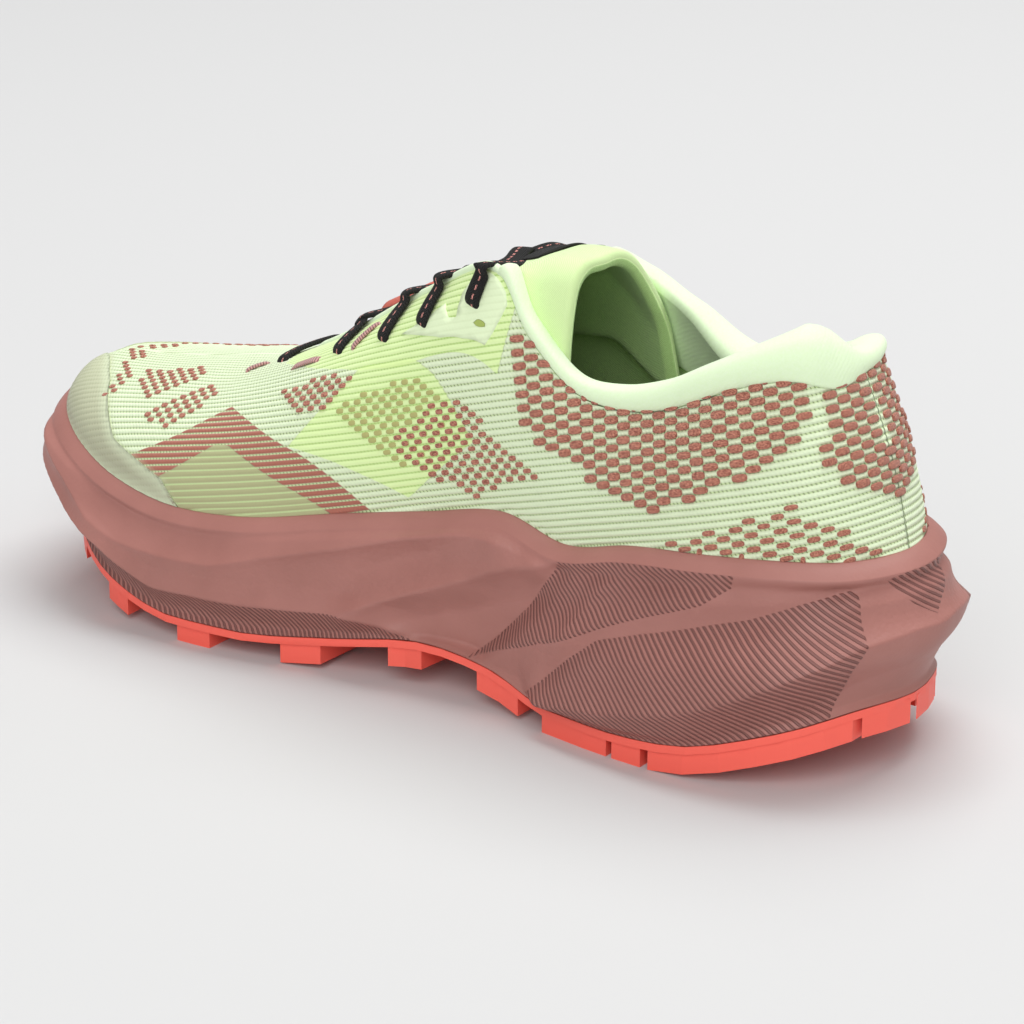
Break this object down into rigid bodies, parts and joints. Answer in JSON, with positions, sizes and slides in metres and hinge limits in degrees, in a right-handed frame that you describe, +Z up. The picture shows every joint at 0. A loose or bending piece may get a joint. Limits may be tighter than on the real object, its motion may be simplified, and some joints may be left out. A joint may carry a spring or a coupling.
{
  "type": "trail running shoe",
  "caption": "Low trail running shoe with a knit upper, padded collar, thick sculpted foam midsole and lugged rubber outsole, standing empty.",
  "frame": {"origin": "middle of the shoe's box, on the ground under the sole", "axes": "+X to the toe, +Y to the inner side of the foot, +Z up"},
  "size_m": [0.3062, 0.1156, 0.123],
  "materials": {
    "foam": "matt moulded foam with a fine leather-like grain",
    "rubber": "matt moulded rubber",
    "knit": "ribbed engineered knit with coloured floats",
    "padding": "smooth padded lining cloth",
    "tongue_cloth": "ribbed padded cloth",
    "insole_cloth": "brushed cloth on foam",
    "film": "thin satin film over knit",
    "eyestay_film": "thin satin film over knit",
    "lace": "flat woven lace with flecks",
    "band": "woven tape",
    "keeper": "woven webbing"
  },
  "bodies": {
    "root": {"midsole": "foam", "outsole": "rubber", "upper": "knit", "collar": "padding", "tongue": "tongue_cloth", "insole": "insole_cloth", "toe_guard": "film", "eyestay_inner": "eyestay_film", "eyestay_outer": "eyestay_film", "lace_crossing_1": "lace", "lace_crossing_2": "lace", "lace_crossing_3": "lace", "lace_bar": "lace", "tongue_band": "band", "lace_keeper": "keeper"}
  },
  "joints": []
}
